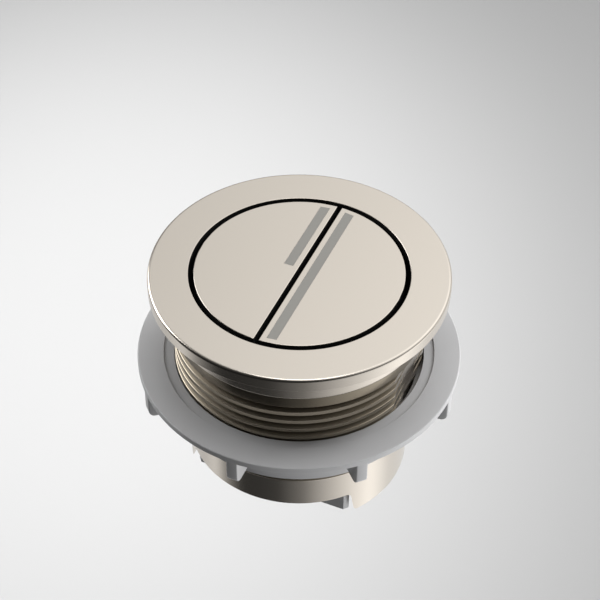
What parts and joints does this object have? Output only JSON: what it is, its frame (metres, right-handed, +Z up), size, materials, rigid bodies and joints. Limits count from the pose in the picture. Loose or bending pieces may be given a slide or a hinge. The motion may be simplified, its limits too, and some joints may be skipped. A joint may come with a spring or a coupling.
{
  "type": "push button cistern actuator",
  "caption": "Round dual flush push button with a split satin top, a wide bezel, a threaded body, a clamp nut and two push rods.",
  "frame": {"origin": "on the button's axis, in the plane where the bezel sits on the cistern lid", "axes": "+Z up along the button's axis; the split between the two buttons runs along Y, the half flush button is at -X and the full flush button at +X"},
  "size_m": [0.0806, 0.0806, 0.0735],
  "materials": {
    "plated_plastic": "satin nickel plate on moulded ABS",
    "gasket_rubber": "black moulded rubber",
    "plated_body": "satin nickel plate like the bezel's, over moulded ABS",
    "nut_plastic": "satin grey moulded plastic",
    "mark_plastic": "flush grey fill",
    "white_plastic": "plain moulded acetal",
    "spring_steel": "drawn stainless wire"
  },
  "bodies": {
    "fixed": {"bezel": "plated_plastic", "threaded_body": "plated_body", "guide_carrier": "nut_plastic"},
    "gasket": {"lid_gasket": "gasket_rubber"},
    "nut": {"clamp_nut": "nut_plastic"},
    "half_button": {"half_button_cap": "plated_plastic", "half_button_mark": "mark_plastic", "half_plunger": "white_plastic", "half_spring": "spring_steel", "half_push_rod": "white_plastic", "half_lock_nut": "white_plastic", "half_rod_tip": "white_plastic"},
    "full_button": {"full_button_cap": "plated_plastic", "full_button_mark": "mark_plastic", "full_plunger": "white_plastic", "full_spring": "spring_steel", "full_push_rod": "white_plastic", "full_lock_nut": "white_plastic", "full_rod_tip": "white_plastic"}
  },
  "joints": [
    {"name": "nut_turn", "type": "hinge", "parent": "fixed", "child": "gasket", "pos_m": [0, 0, 0], "axis": [0, 0, 1], "range_deg": [-1080, 1080]},
    {"name": "nut_travel", "type": "slide", "parent": "gasket", "child": "nut", "axis": [0, 0, 1], "range_m": [-0.0085, 0.0085]},
    {"name": "half_press", "type": "slide", "parent": "fixed", "child": "half_button", "axis": [0, 0, -1], "range_m": [0, 0.006], "stiffness_N_per_m": 350, "springref_m": -0.004, "deforming": ["half_spring"]},
    {"name": "full_press", "type": "slide", "parent": "fixed", "child": "full_button", "axis": [0, 0, -1], "range_m": [0, 0.006], "stiffness_N_per_m": 350, "springref_m": -0.004, "deforming": ["full_spring"]}
  ],
  "couplings": [
    {"joint": "nut_travel", "follows": "nut_turn", "m_per_rad": 0.00044563}
  ]
}
